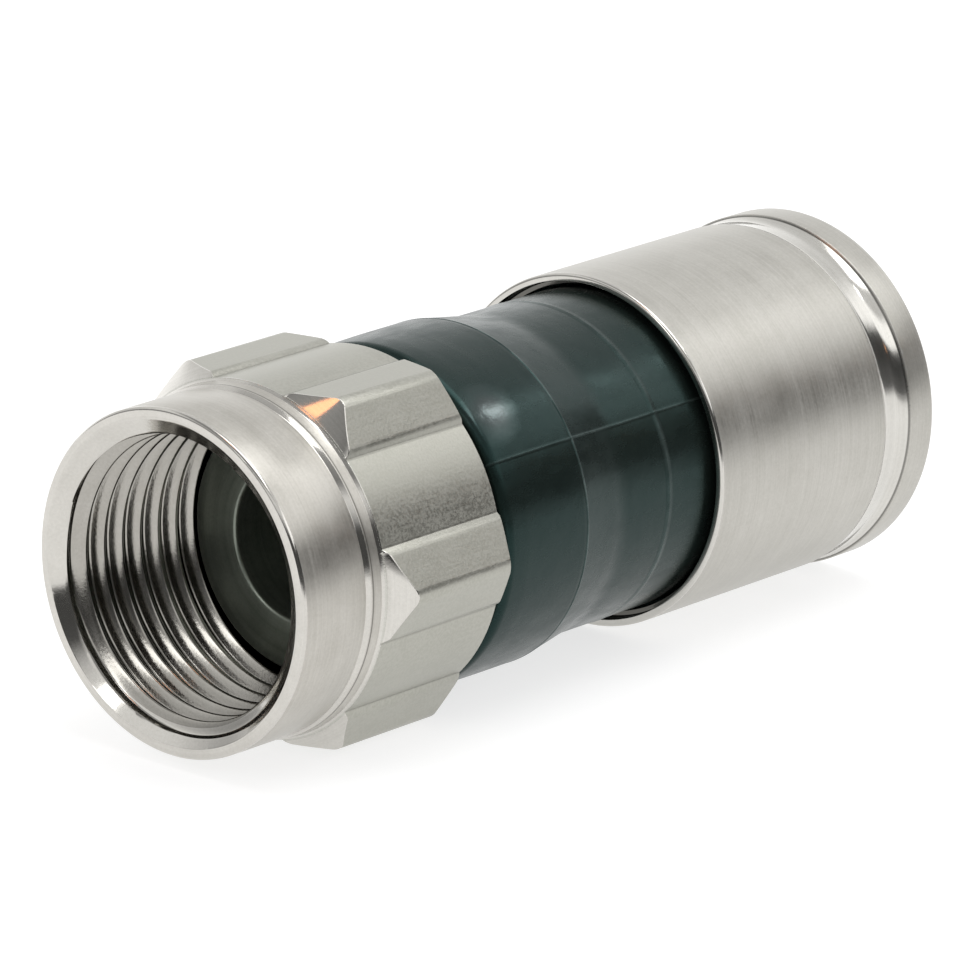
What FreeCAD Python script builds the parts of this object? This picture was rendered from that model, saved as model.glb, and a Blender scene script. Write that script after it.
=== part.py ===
import FreeCAD, Part
import math
import os

# Compression connector for coaxial cable, lying on its side, in millimetres.
# The axis is Y: the coupling nut faces -Y and the cable goes in at the +Y end.
# Y = 0 is the front face of the post's flange, the plane that meets the mating port.
# The nut has its flats level, so two of its corners point along +X and -X.

# Clearances shared by the pieces
running_clearance = 0.08
end_float = 0.15
seat_gap = 0.02
stroke_gap = 0.05
edge_break = 0.08

# The port's thread, which sets every other radius through the walls below
thread_minor_radius = 4.38

# Coupling nut
nut_length = 8.65
counterbore_depth = 1.00
collar_wall = 1.04
mouth_wall = 0.34
barrel_rise = 0.18
flat_drop = 0.07
counterbore_wall = 0.85
hexagon_corners = 6
corner_rounding = 0.50
lobe_half_angle = 13.4
collar_length = 2.72
collar_edge = 0.12
neck_groove_width = 0.28
neck_groove_depth = 0.08
shoulder_length = 0.36
shoulder_rise = 0.14
front_chamfer_angle = 45.0
rear_chamfer_angle = 60.0
countersink_depth = 0.55
thread_end_gap = 0.10
thread_relief_depth = 0.42
lip_thickness = 0.90

# Inner post
flange_thickness = 1.10
flange_clearance = 0.28
flange_width = 0.83
neck_step = 0.42
post_tube_wall = 0.40
post_length = 16.90
barb_height = 0.32
barb_length = 1.30
barb_setback = 0.45

# Connector body
nut_gap = 0.40
ring_drop = 0.07
ring_length = 3.70
ring_edge = 0.35
taper_length = 2.05
taper_rounding = 4.0
exposed_tail = 4.15
press_length = 6.20
skirt_wall = 1.15
ridge_height = 0.20
ridge_length = 0.40
skirt_length = 2.25
skirt_clearance = 0.15
serration_count = 4
serration_depth = 0.12
serration_length = 0.80

# Seal ring between the nut and the body's hub
seal_section_radius = 0.40
seal_section_sides = 12

# Compression sleeve
sleeve_length = 10.55
sleeve_rise = 0.18
sleeve_wall = 0.26
mouth_rim = 0.25
mouth_depth = 0.50
land_length = 0.70
cable_allowance = 0.15
entry_length = 1.30
entry_chamfer = 0.35
cove_length = 1.15
cove_depth = 0.10
cove_bottom_setback = 0.345
flange_length = 1.20
flange_rise = 0.07
flange_edge = 0.10

# Stations along the axis
lip_front = flange_thickness + end_float
lip_rear = lip_front + lip_thickness
nut_rear = lip_rear + counterbore_depth
nut_front = nut_rear - nut_length
hub_front = lip_rear + end_float
body_front = nut_rear + nut_gap
ring_end = body_front + ring_length
taper_end = ring_end + taper_length
sleeve_front = taper_end + exposed_tail
sleeve_rear = sleeve_front + sleeve_length
land_front = sleeve_front + mouth_depth
land_rear = land_front + land_length
ridge_front = land_rear + stroke_gap
ridge_rear = ridge_front + ridge_length
body_rear = ridge_rear + skirt_length
cavity_front = hub_front + press_length

# The sleeve slides until its land reaches the front end of the body's tail
stroke = land_front - taper_end
ramp_front = ridge_rear + stroke + stroke_gap
ramp_rear = sleeve_rear - entry_length

# Radii outward from the thread: nut, then the body's ring, then the sleeve
collar_radius = thread_minor_radius + collar_wall
mouth_radius = collar_radius - mouth_wall
barrel_radius = collar_radius + barrel_rise
half_flats = barrel_radius - flat_drop
corner_radius = half_flats / math.cos(math.pi / hexagon_corners)
ring_radius = barrel_radius - ring_drop
sleeve_radius = ring_radius + sleeve_rise
sleeve_flange_radius = sleeve_radius + flange_rise
mouth_bore_radius = sleeve_radius - mouth_rim

# Radii inward from the sleeve: its cavity, the body's ridge and tail, the cable's way in
sleeve_cavity_radius = sleeve_radius - sleeve_wall
ridge_radius = sleeve_cavity_radius - stroke_gap
tail_radius = ridge_radius - ridge_height
land_radius = tail_radius + running_clearance
cable_cavity_radius = tail_radius - skirt_wall
entry_radius = cable_cavity_radius + cable_allowance

# Radii inward from the nut: seal, hub and post
counterbore_radius = barrel_radius - counterbore_wall
seal_centre_radius = counterbore_radius - running_clearance - seal_section_radius
hub_radius = seal_centre_radius - seal_section_radius - seat_gap
post_flange_radius = thread_minor_radius - flange_clearance
post_neck_radius = post_flange_radius - flange_width
lip_bore_radius = post_neck_radius + running_clearance
post_tube_radius = post_neck_radius - neck_step
post_bore_radius = post_tube_radius - post_tube_wall

MOST_OF_EDGE = 0.45


def axial_plane(radius, y):
    """Point of the half plane in which the turned outlines are drawn."""
    return FreeCAD.Vector(radius, y, 0)


def rounded_corner(before, corner, after, rounding):
    """Ends and middle of the arc that rounds one corner of an outline."""
    back = before - corner
    ahead = after - corner
    half_angle = back.getAngle(ahead) / 2
    reach = rounding / math.tan(half_angle)
    reach = min(reach, MOST_OF_EDGE * back.Length, MOST_OF_EDGE * ahead.Length)
    radius = reach * math.tan(half_angle)
    start = corner + back.normalize() * reach
    end = corner + ahead.normalize() * reach
    bisector = (back + ahead).normalize()
    middle = corner + bisector * (radius / math.sin(half_angle) - radius)
    return start, middle, end


def turned(outline):
    """Solid of revolution about Y from corners given as (radius, y) or (radius, y, rounding)."""
    corners = [axial_plane(corner[0], corner[1]) for corner in outline]
    edges = []
    ends = []
    for index, corner in enumerate(corners):
        rounding = outline[index][2] if len(outline[index]) > 2 else 0
        if rounding > 0:
            following = corners[(index + 1) % len(corners)]
            start, middle, end = rounded_corner(corners[index - 1], corner, following, rounding)
            ends.append((start, end, Part.Arc(start, middle, end).toShape()))
        else:
            ends.append((corner, corner, None))
    for index, (start, end, arc) in enumerate(ends):
        if arc is not None:
            edges.append(arc)
        following = ends[(index + 1) % len(ends)][0]
        edges.append(Part.LineSegment(end, following).toShape())
    face = Part.Face(Part.Wire(edges))
    return face.revolve(FreeCAD.Vector(0, 0, 0), FreeCAD.Vector(0, 1, 0), 360)


def nut_point(radius, degrees):
    """Point of the nut's cross-section, on the plane of its front face."""
    angle = math.radians(degrees)
    return FreeCAD.Vector(radius * math.cos(angle), nut_front, radius * math.sin(angle))


def nut_section():
    """Round barrel with the six corners of a hexagon standing proud of it."""
    half_pitch = 180 / hexagon_corners
    top_radius = half_flats / math.cos(math.radians(half_pitch - lobe_half_angle))
    wall_angle = math.degrees((top_radius - barrel_radius) / barrel_radius)
    base_angle = lobe_half_angle + wall_angle
    centre_radius = (half_flats - corner_rounding) / math.cos(math.radians(half_pitch))
    edges = []
    for corner in range(hexagon_corners):
        direction = corner * 2 * half_pitch
        centre = nut_point(centre_radius, direction)
        round_points = [
            centre + nut_point(corner_rounding, direction + turn) - nut_point(0, 0)
            for turn in (-half_pitch, 0, half_pitch)
        ]
        lobe = [
            nut_point(barrel_radius, direction - base_angle),
            nut_point(top_radius, direction - lobe_half_angle),
            round_points[0],
            round_points[2],
            nut_point(top_radius, direction + lobe_half_angle),
            nut_point(barrel_radius, direction + base_angle),
        ]
        next_lobe = nut_point(barrel_radius, direction + 2 * half_pitch - base_angle)
        valley = nut_point(barrel_radius, direction + half_pitch)
        edges.append(Part.LineSegment(lobe[0], lobe[1]).toShape())
        edges.append(Part.LineSegment(lobe[1], lobe[2]).toShape())
        edges.append(Part.Arc(*round_points).toShape())
        edges.append(Part.LineSegment(lobe[3], lobe[4]).toShape())
        edges.append(Part.LineSegment(lobe[4], lobe[5]).toShape())
        edges.append(Part.Arc(lobe[5], valley, next_lobe).toShape())
    return Part.Face(Part.Wire(edges))


def coupling_nut():
    """Nut turned from the lobed bar: collar, neck groove, chamfers, threaded socket and lip."""
    rise = corner_radius - barrel_radius
    groove_front = nut_front + collar_length
    groove_rear = groove_front + neck_groove_width
    shoulder_rear = groove_rear + shoulder_length
    lobe_front = shoulder_rear + rise / math.tan(math.radians(front_chamfer_angle))
    lobe_rear = nut_rear - rise / math.tan(math.radians(rear_chamfer_angle))
    thread_front = nut_front + countersink_depth
    thread_rear = -thread_end_gap
    relief_radius = thread_minor_radius + thread_relief_depth
    outline = [
        (mouth_radius, nut_front),
        (collar_radius - collar_edge, nut_front),
        (collar_radius, nut_front + collar_edge),
        (collar_radius, groove_front),
        (collar_radius - neck_groove_depth, groove_front + neck_groove_depth),
        (collar_radius - neck_groove_depth, groove_rear),
        (barrel_radius - shoulder_rise, groove_rear),
        (barrel_radius, shoulder_rear),
        (corner_radius, lobe_front),
        (corner_radius, lobe_rear),
        (barrel_radius, nut_rear),
        (counterbore_radius, nut_rear),
        (counterbore_radius, lip_rear),
        (lip_bore_radius, lip_rear),
        (lip_bore_radius, lip_front),
        (relief_radius, lip_front),
        (relief_radius, thread_rear),
        (thread_minor_radius, thread_rear),
        (thread_minor_radius, thread_front),
    ]
    bar = nut_section().extrude(FreeCAD.Vector(0, nut_length, 0))
    return bar.common(turned(outline))


def inner_post():
    """Tube with a flange, a neck that carries the nut and the body, and a barb for the cable."""
    barb_rear = post_length - barb_setback
    barb_front = barb_rear - barb_length
    tip_radius = post_bore_radius + post_tube_wall / 2
    outline = [
        (post_bore_radius, 0),
        (post_flange_radius - edge_break, 0),
        (post_flange_radius, edge_break),
        (post_flange_radius, flange_thickness),
        (post_neck_radius, flange_thickness),
        (post_neck_radius, cavity_front),
        (post_tube_radius, cavity_front),
        (post_tube_radius, barb_front),
        (post_tube_radius + barb_height, barb_front),
        (post_tube_radius, barb_rear),
        (tip_radius, post_length),
        (post_bore_radius, post_length),
    ]
    return turned(outline)


def serrations():
    """Saw teeth inside the body's skirt, from its rear end forward."""
    teeth = []
    for tooth in range(serration_count):
        rear = body_rear - tooth * serration_length
        teeth.append((cable_cavity_radius, rear))
        teeth.append((cable_cavity_radius - serration_depth, rear - serration_length))
    teeth.append((cable_cavity_radius, body_rear - serration_count * serration_length))
    return teeth


def connector_body():
    """Moulding pressed on the post: hub, ring, taper, tail, retaining ridge and serrated skirt."""
    ramp_slope = (sleeve_cavity_radius - entry_radius) / (ramp_rear - ramp_front)
    ramp_at_tip = sleeve_cavity_radius - ramp_slope * (body_rear + stroke - ramp_front)
    skirt_tip_radius = ramp_at_tip - skirt_clearance
    ring_knuckle = ring_edge * (1 - math.sqrt(0.5))
    outline = [
        (post_neck_radius, hub_front),
        (hub_radius - edge_break, hub_front),
        (hub_radius, hub_front + edge_break),
        (hub_radius, body_front),
        (ring_radius - ring_edge, body_front),
        (ring_radius - ring_knuckle, body_front + ring_knuckle),
        (ring_radius, body_front + ring_edge),
        (ring_radius, ring_end, taper_rounding),
        (tail_radius, taper_end, taper_rounding),
        (tail_radius, ridge_front),
        (ridge_radius, ridge_front),
        (ridge_radius, ridge_front + ridge_length / 2),
        (tail_radius, ridge_rear),
        (skirt_tip_radius, body_rear),
    ]
    outline += serrations()
    outline += [
        (cable_cavity_radius, cavity_front),
        (post_neck_radius, cavity_front),
    ]
    return turned(outline)


def nut_seal_ring():
    """Rubber ring seated on the hub and against the body's front face."""
    centre_y = body_front - seat_gap - seal_section_radius
    outline = []
    for side in range(seal_section_sides):
        angle = side * 2 * math.pi / seal_section_sides
        radius = seal_centre_radius + seal_section_radius * math.cos(angle)
        outline.append((radius, centre_y + seal_section_radius * math.sin(angle)))
    return turned(outline)


def compression_sleeve():
    """Sleeve with a guiding land, a cavity for the ridge, a closing ramp, cove and flange."""
    flange_front = sleeve_rear - flange_length
    cove_front = flange_front - cove_length
    cove_bottom = flange_front - cove_bottom_setback
    outline = [
        (mouth_bore_radius, sleeve_front),
        (sleeve_radius - edge_break, sleeve_front),
        (sleeve_radius, sleeve_front + edge_break),
        (sleeve_radius, cove_front, cove_length),
        (sleeve_radius - cove_depth, cove_bottom, cove_length),
        (sleeve_radius, flange_front),
        (sleeve_flange_radius, flange_front + flange_rise),
        (sleeve_flange_radius, sleeve_rear - flange_edge),
        (sleeve_flange_radius - flange_edge, sleeve_rear),
        (entry_radius + entry_chamfer, sleeve_rear),
        (entry_radius, sleeve_rear - entry_chamfer),
        (entry_radius, ramp_rear),
        (sleeve_cavity_radius, ramp_front),
        (sleeve_cavity_radius, land_rear),
        (land_radius, land_rear),
        (land_radius, land_front),
        (mouth_bore_radius, land_front),
    ]
    return turned(outline)


def main():
    pieces = {
        "coupling_nut": coupling_nut(),
        "inner_post": inner_post(),
        "connector_body": connector_body(),
        "nut_seal_ring": nut_seal_ring(),
        "compression_sleeve": compression_sleeve(),
    }
    os.makedirs("parts", exist_ok=True)
    for name, shape in pieces.items():
        if shape.ShapeType == "Compound" and len(shape.Solids) == 1:
            shape = shape.Solids[0]
        shape.exportStep("parts/" + name + ".step")
        print(name, shape.isValid(), len(shape.Solids), round(shape.Volume, 2), "mm3")
    print("stroke", round(stroke, 3), "ramp", round(ramp_front, 2), round(ramp_rear, 2))


main()
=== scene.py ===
import math

import bmesh
import bpy
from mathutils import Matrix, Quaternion, Vector


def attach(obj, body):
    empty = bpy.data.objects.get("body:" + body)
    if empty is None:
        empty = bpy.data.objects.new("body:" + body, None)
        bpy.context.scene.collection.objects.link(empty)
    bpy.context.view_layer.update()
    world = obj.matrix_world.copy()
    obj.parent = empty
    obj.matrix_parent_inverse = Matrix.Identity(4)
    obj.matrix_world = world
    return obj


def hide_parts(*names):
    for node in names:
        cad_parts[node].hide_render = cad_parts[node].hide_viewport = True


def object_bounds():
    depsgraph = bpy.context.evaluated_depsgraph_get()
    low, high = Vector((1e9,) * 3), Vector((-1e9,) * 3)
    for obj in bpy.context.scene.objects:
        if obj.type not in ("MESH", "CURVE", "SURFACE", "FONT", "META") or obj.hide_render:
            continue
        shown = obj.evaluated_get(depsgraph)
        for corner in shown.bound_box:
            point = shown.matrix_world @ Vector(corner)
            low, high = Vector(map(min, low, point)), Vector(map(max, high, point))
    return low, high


# Looks of a compression connector for coaxial cable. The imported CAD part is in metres.
# Lengths below are in millimetres and become metres where a mesh or a light is made.
# The axis is Y, with the coupling nut towards -Y, and up is +Z.
# Angles round the axis are in degrees, from +X towards +Z.
MM = 0.001

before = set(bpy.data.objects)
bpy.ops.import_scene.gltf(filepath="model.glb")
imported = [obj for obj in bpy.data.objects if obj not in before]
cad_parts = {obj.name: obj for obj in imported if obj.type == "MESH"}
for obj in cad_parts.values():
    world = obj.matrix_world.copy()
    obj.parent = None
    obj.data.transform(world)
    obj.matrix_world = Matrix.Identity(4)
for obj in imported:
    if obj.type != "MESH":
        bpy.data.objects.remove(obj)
cad_low, cad_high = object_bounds()

# Coupling nut, with sizes as in the CAD part
NUT_FRONT = -5.50
NUT_REAR = 3.15
COLLAR_RADIUS = 5.42
COLLAR_EDGE = 0.12
MOUTH_RADIUS = 5.08
MOUTH_EDGE = 0.02
COUNTERSINK_DEPTH = 0.55
THREAD_MINOR = 4.38
THREAD_MAJOR = 4.76
RELIEF_RADIUS = 4.80
LIP_FRONT = 1.25
LIP_REAR = 2.15
LIP_BORE = 3.35
COUNTERBORE = 4.75
GROOVE_FRONT = -2.78
GROOVE_REAR = -2.50
SHOULDER_LAND = 5.49
SHOULDER_FRONT = -2.60
SHOULDER_REAR = -2.14
BARREL_RADIUS = 5.60
HALF_FLATS = 5.53
CORNER_ROUNDING = 0.50
LOBES = 6
LOBE_SPACING = 360.0 / LOBES
LOBE_HALF_ANGLE = 13.4
LOBE_BASE_ANGLE = 15.14
FRONT_CHAMFER = 45.0
REAR_CHAMFER = 60.0

# Wear and small steps of the nut
NUT_EDGE = 0.04
LOBE_EDGE_SPREAD = 0.9
LAND_TAPER = 0.004
STEP_FALL = 0.07
STEP_RUN = 0.06
GROOVE_DEPTH = 0.035
GROOVE_REAR_DEPTH = 0.02
GROOVE_WALL = 0.025
GROOVE_LIP = 0.01
NUT_BEVEL = 0.03

# Connector body
BODY_FRONT = 3.55
HUB_FRONT = 2.30
HUB_RADIUS = 3.85
HUB_EDGE = 0.08
HUB_FOOT = 0.05
RING_RADIUS = 5.53
RING_EDGE = 0.35
RING_END_EDGE = 0.5
RING_END = 7.25
TAPER_END = 9.30
TAPER_ROUNDING = 4.0
TAIL_RADIUS = 5.20
RIDGE_FRONT = 14.70
RIDGE_REAR = 15.10
RIDGE_RADIUS = 5.40
BODY_REAR = 17.35
SKIRT_TIP = 4.352
SKIRT_EDGE = 0.04
CABLE_CAVITY = 4.05
CAVITY_FRONT = 8.50
SERRATION_LENGTH = 0.80
SERRATION_DEPTH = 0.12
SERRATIONS = 4

# Mould marks on the body: parting lines of the two halves, and the ends of two inserts
PARTING_DEGREES = 30.0
PARTING_HALF_WIDTH = 0.05
PARTING_HEIGHT = 0.014
PARTING_REAR = RIDGE_FRONT - 1.2
PARTING_OFFS = (-1.0, -0.5, -0.25, 0.0, 0.25, 0.5, 1.0)
INSERT_HALF_WIDTH = 0.055
INSERT_HEIGHT = 0.014
MARK_ROUNDING = 0.05
WITNESS_Y = 11.5
WITNESS_HALF_WIDTH = 0.16
WITNESS_HEIGHT = 0.018
WITNESS_FOOT = 0.2

# The ring bulges slightly between its front and the place where it runs straight
CROWN_HEIGHT = 0.05
CROWN_LENGTH = 1.90
CROWN_MIDDLE_SHARE = 0.30
CROWN_MIDDLE_ROUNDING = 4.0
CROWN_END_ROUNDING = 6.0

# Where fingers rubbed the ring's front smoother, with a painted sheen of raised specular level
# and whiter specular tint
RUBBED_DEGREES = 46.0
RUBBED_Y = 4.6
RUBBED_RADIUS = 1.6

# Inner post
FLANGE_RADIUS = 4.10
FLANGE_THICKNESS = 1.10
FLANGE_EDGE = 0.08
NECK_RADIUS = 3.27
TUBE_RADIUS = 2.85
BORE_RADIUS = 2.45
BORE_EDGE = 0.12
POST_LENGTH = 16.90
BARB_FRONT = 15.15
BARB_REAR = 16.45
BARB_RADIUS = 3.17
TIP_RADIUS = 2.65

# Compression sleeve
SLEEVE_FRONT = 13.45
SLEEVE_REAR = 24.00
SLEEVE_RADIUS = 5.71
SLEEVE_EDGE = 0.11
SLEEVE_FLANGE = 5.78
FLANGE_FRONT = 22.80
FLANGE_LEAN = 0.07
FLANGE_FOOT = 0.02
REAR_EDGE = 0.12
COVE_FRONT = 21.65
COVE_BOTTOM = 22.455
COVE_DEPTH = 0.10
COVE_LEAD = 0.08
COVE_LEAD_ROUNDING = 0.15
COVE_WALL_ROUNDING = 0.6
COVE_ROUNDING = 1.0
MOUTH_BORE = 5.46
LAND_FRONT = 13.95
LAND_REAR = 14.65
LAND_RADIUS = 5.28
SLEEVE_CAVITY = 5.45
RAMP_FRONT = 19.80
RAMP_REAR = 22.70
ENTRY_RADIUS = 4.20
ENTRY_CHAMFER = 0.35

# Seal ring
SEAL_CENTRE_RADIUS = 4.27
SEAL_CENTRE_Y = 3.13
SEAL_SECTION = 0.40

# Right-handed 3/8-32 thread: its flats, its run-out, and a place that one crest passes
PITCH = 0.79375
CREST_FLAT = 0.10
ROOT_FLAT = 0.25
THREAD_EDGE = 0.02
THREAD_RUNOUT = 0.45
RUNOUT_SLOPE = 1.7
CREST_AT_Y = -5.32
CREST_AT_DEGREES = 171.0

# Fineness of the meshes: rounding and steps of plain corners, what counts as the same place
# or angle, where a bevel starts, how much large faces lead the shading, and the columns
PLAIN_EDGE = 0.03
PLAIN_STEPS = 4
SMALLEST_GAP = 0.0012
SAME_ANGLE = 0.01
BEVEL_FROM_DEGREES = 26.0
FACE_WEIGHT = 90
POST_COLUMNS = 192
BODY_COLUMNS = 240
SEAL_COLUMNS = 160
SEAL_SECTION_STEPS = 32
SLEEVE_COLUMNS = 256


# Meshes
def arc_corner(before, corner, after, rounding, steps):
    """Points of an arc that rounds one corner of an outline given as (radius, y)."""
    largest_share = 0.48
    back = Vector((before[0] - corner[0], before[1] - corner[1]))
    ahead = Vector((after[0] - corner[0], after[1] - corner[1]))
    half = back.angle(ahead) / 2
    reach = rounding / math.tan(half)
    reach = min(reach, largest_share * back.length, largest_share * ahead.length)
    radius = reach * math.tan(half)
    bisector = (back.normalized() + ahead.normalized()).normalized()
    centre = Vector(corner[:2]) + bisector * (radius / math.sin(half))
    start = Vector(corner[:2]) + back.normalized() * reach - centre
    end = Vector(corner[:2]) + ahead.normalized() * reach - centre
    sweep = start.angle_signed(end)
    points = []
    for step in range(steps + 1):
        turn = -sweep * step / steps
        c, s = math.cos(turn), math.sin(turn)
        across = centre.x + start.x * c - start.y * s
        along = centre.y + start.x * s + start.y * c
        points.append((across, along))
    return points


def outline_points(corners):
    """Closed outline of (radius, y[, rounding[, steps]]) corners, each with a small rounding."""
    points = []
    for index, corner in enumerate(corners):
        rounding = corner[2] if len(corner) > 2 else PLAIN_EDGE
        steps = corner[3] if len(corner) > 3 else PLAIN_STEPS
        before = corners[index - 1]
        after = corners[(index + 1) % len(corners)]
        points += arc_corner(before, corner, after, rounding, steps)
    return points


def even_angles(columns):
    """Angles of that many columns, evenly round the axis."""
    return [360.0 * column / columns for column in range(columns)]


def add_column(bm, points, degrees):
    """Vertices in metres for (radius, y) points at one angle round the axis."""
    c = math.cos(math.radians(degrees))
    s = math.sin(math.radians(degrees))
    return [bm.verts.new((radius * MM * c, y * MM, radius * MM * s)) for radius, y in points]


def lathe(points, angles, lift=None):
    """Closed surface of revolution about Y, with a column of vertices at each angle.

    lift(radius, y, degrees) gives a small height that is added to the radius.
    """
    bm = bmesh.new()
    columns = []
    for degrees in angles:
        lifted = points
        if lift:
            lifted = [(radius + lift(radius, y, degrees), y) for radius, y in points]
        columns.append(add_column(bm, lifted, degrees))
    for index, here in enumerate(columns):
        there = columns[(index + 1) % len(columns)]
        for row in range(len(points)):
            after = (row + 1) % len(points)
            bm.faces.new((here[row], here[after], there[after], there[row]))
    return bm


def break_edges(piece, width):
    """Narrow bevel on the sharp edges of a piece."""
    edges = piece.modifiers.new("broken_edges", "BEVEL")
    edges.width = width * MM
    edges.segments = 2
    edges.limit_method = "ANGLE"
    edges.angle_limit = math.radians(BEVEL_FROM_DEGREES)
    edges.use_clamp_overlap = True


def new_piece(name, bm, body, node, material, bevel=0.0):
    """Object from a bmesh in metres, standing for a CAD node and riding on its body."""
    bmesh.ops.remove_doubles(bm, verts=bm.verts, dist=SMALLEST_GAP * MM)
    bmesh.ops.recalc_face_normals(bm, faces=bm.faces)
    mesh = bpy.data.meshes.new(name)
    bm.to_mesh(mesh)
    bm.free()
    for polygon in mesh.polygons:
        polygon.use_smooth = True
    piece = bpy.data.objects.new(name, mesh)
    bpy.context.scene.collection.objects.link(piece)
    mesh.materials.append(material)
    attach(piece, body)
    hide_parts(node)
    if bevel > 0:
        break_edges(piece, bevel)
    weighted = piece.modifiers.new("weighted_normals", "WEIGHTED_NORMAL")
    weighted.weight = FACE_WEIGHT
    weighted.keep_sharp = True


# Shader nodes
NOWHERE = 0.0  # mask of an area that a piece doesn't have


def is_number(value):
    return isinstance(value, (int, float))


class Nodes:
    """Short forms for building a node tree. A value is a socket, a number or a colour."""

    def __init__(self, tree):
        self.tree = tree

    def node(self, kind, **settings):
        made = self.tree.nodes.new(kind)
        for key, value in settings.items():
            setattr(made, key, value)
        return made

    def put(self, value, target):
        """Links a socket to the target, or sets a number or a colour on it."""
        if is_number(value):
            target.default_value = value
        elif isinstance(value, tuple):
            target.default_value = (*value, 1.0)
        else:
            self.tree.links.new(value, target)

    def math(self, operation, *values):
        made = self.node("ShaderNodeMath", operation=operation)
        for value, target in zip(values, made.inputs):
            self.put(value, target)
        return made.outputs[0]

    def times(self, first, second):
        if NOWHERE in (first, second):
            return NOWHERE
        return self.math("MULTIPLY", first, second)

    def plus(self, first, second):
        if first == NOWHERE:
            return second
        return first if second == NOWHERE else self.math("ADD", first, second)

    def minus(self, first, second):
        if is_number(first) and is_number(second):
            return first - second
        return first if second == NOWHERE else self.math("SUBTRACT", first, second)

    def larger(self, first, second):
        return self.math("MAXIMUM", first, second)

    def smaller(self, first, second):
        return self.math("MINIMUM", first, second)

    def below(self, value, limit):
        return self.math("LESS_THAN", value, limit)

    def above(self, value, limit):
        return self.math("GREATER_THAN", value, limit)

    def near(self, value, centre, half_width, sharpness=1.0):
        """1 at the centre, falling to 0 at half_width on both sides; sharpness widens the top."""
        away = self.math("ABSOLUTE", self.minus(value, centre))
        share = self.minus(1.0, self.math("DIVIDE", away, half_width))
        return self.smaller(self.times(self.larger(share, 0.0), sharpness), 1.0)

    def choose(self, mask, outside, inside):
        """The outside value where the mask is 0 and the inside value where it is 1."""
        return self.plus(outside, self.times(self.minus(inside, outside), mask))

    def tint(self, mask, outside, inside):
        """The outside colour where the mask is 0 and the inside colour where it is 1."""
        if mask == NOWHERE:
            return outside
        mix = self.node("ShaderNodeMix", data_type="RGBA")
        for value, index in ((mask, 0), (outside, 6), (inside, 7)):
            self.put(value, mix.inputs[index])
        return mix.outputs[2]

    def ramp(self, source, stops):
        made = self.node("ShaderNodeValToRGB")
        elements = made.color_ramp.elements
        while len(elements) < len(stops):
            elements.new(0.5)
        for element, (position, colour) in zip(elements, stops):
            element.position = position
            element.color = (*colour, 1.0)
        self.put(source, made.inputs[0])
        return made.outputs[0]

    def spread(self, value, source, target=(0.0, 1.0), interpolation="LINEAR"):
        """The value's range from source[0] to source[1], brought to that of the target."""
        made = self.node("ShaderNodeMapRange", interpolation_type=interpolation)
        limits = zip(("From Min", "From Max", "To Min", "To Max"), (*source, *target))
        for name, limit in limits:
            made.inputs[name].default_value = limit
        self.put(value, made.inputs["Value"])
        return made.outputs[0]

    def coordinates(self, kind):
        """The x, y and z of one kind of texture coordinates."""
        place = self.node("ShaderNodeTexCoord")
        split = self.node("ShaderNodeSeparateXYZ")
        self.put(place.outputs[kind], split.inputs[0])
        return split.outputs[0], split.outputs[1], split.outputs[2]


class Shader(Nodes):
    """A new material with its node tree."""

    def __init__(self, name):
        self.material = bpy.data.materials.new(name)
        self.material.use_nodes = True
        super().__init__(self.material.node_tree)
        self.bsdf = self.tree.nodes["Principled BSDF"]

    def set(self, **values):
        """Gives values to the surface's sockets, with their names' spaces as underscores."""
        for key, value in values.items():
            self.put(value, self.bsdf.inputs[key.replace("_", " ")])

    def place(self):
        """Object coordinates in millimetres."""
        return [self.times(metres, 1 / MM) for metres in self.coordinates("Object")]

    def from_axis(self, x, z):
        """Distance from the axis."""
        return self.math("SQRT", self.plus(self.times(x, x), self.times(z, z)))

    def vector(self, x, y, z):
        made = self.node("ShaderNodeCombineXYZ")
        for value, target in zip((x, y, z), made.inputs):
            self.put(value, target)
        return made.outputs[0]

    def noise(self, vector, settings):
        made = self.node("ShaderNodeTexNoise")
        for name, value in zip(("Scale", "Detail", "Roughness"), settings):
            made.inputs[name].default_value = value
        self.put(vector, made.inputs["Vector"])
        return made.outputs["Fac"]

    def bump(self, height, distance, normal=None):
        """Relief of at most the distance in millimetres, on top of another if one is given."""
        made = self.node("ShaderNodeBump")
        made.inputs["Strength"].default_value = 1.0
        made.inputs["Distance"].default_value = distance * MM
        self.put(height, made.inputs["Height"])
        if normal is not None:
            self.put(normal, made.inputs["Normal"])
        return made.outputs[0]


# Masks of areas: how sharply they end, and their usual margin in millimetres
HARD = 3.0
SOFT = 1.5
AREA_MARGIN = 0.02

# Noise patterns, as (scale, detail, roughness)
LINE_NOISE = (1.0, 4.0, 0.62)
BAR_GRAIN_NOISE = (6.0, 4.0, 0.62)
BROAD_NOISE = (1.0, 2.0, 0.5)
SPOT_NOISE = (0.8, 4.0, 0.6)
SPECKLE_NOISE = (11.0, 2.0, 0.6)
CLOUD_NOISE = (0.35, 3.0, 0.5)
WEAR_NOISE = (1.1, 3.0, 0.6)
SMEAR_NOISE = (1.6, 4.0, 0.6)
PIT_NOISE = (3.0, 5.0, 0.65)
WAVE_NOISE = (0.5, 2.0, 0.5)
DUST_NOISE = (2.5, 4.0, 0.6)

# Plated metal: how far its lines are stretched round the axis or along it
ROUND_STRETCH = 0.06
LENGTH_STRETCH = 0.08
LINES_ACROSS_FACES = 0.83
BROAD_LINES_PER_MM = 0.9
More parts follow.
